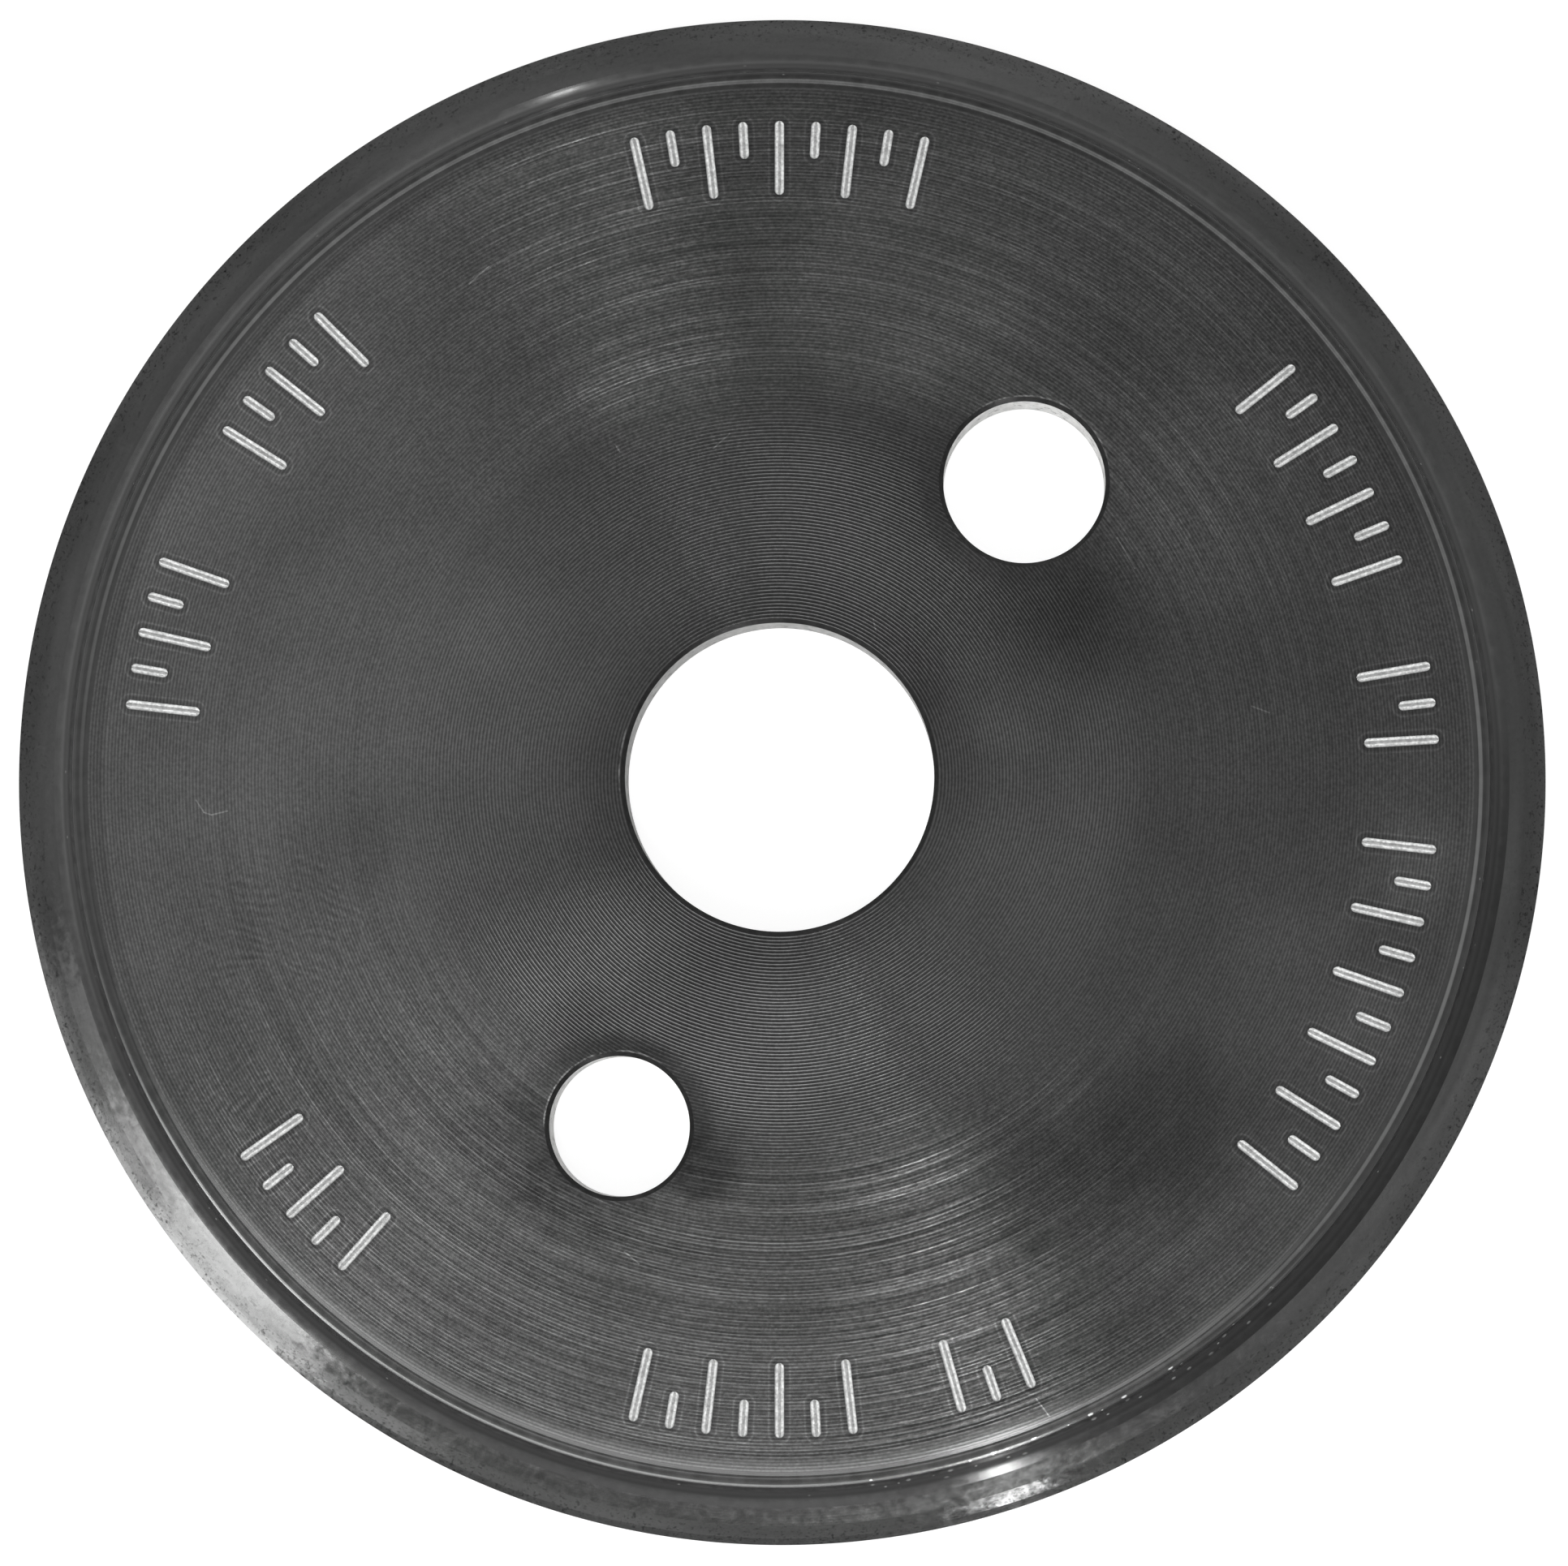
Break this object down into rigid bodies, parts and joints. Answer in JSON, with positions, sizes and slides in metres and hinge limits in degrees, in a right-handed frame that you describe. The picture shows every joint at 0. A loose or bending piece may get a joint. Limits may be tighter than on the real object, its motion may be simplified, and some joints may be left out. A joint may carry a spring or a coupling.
{
  "type": "pipe cutter wheel",
  "caption": "Hardened steel cutting disc for a pipe cutter: flat clamping faces, a centre bore, drive-pin holes and a coved rim that thins to a bevelled cutting edge.",
  "frame": {"origin": "on the bore's axis, in the plane of the lower clamping face", "axes": "+Z along the bore's axis towards the upper clamping face; the larger drive-pin hole lies in the +X +Y quarter"},
  "size_m": [0.07, 0.07, 0.0042],
  "materials": {
    "blackened_steel": "finely turned tool steel with a dark blackened finish, with bare metal in the holes"
  },
  "bodies": {
    "root": {"cutter_wheel": "blackened_steel"}
  },
  "joints": []
}
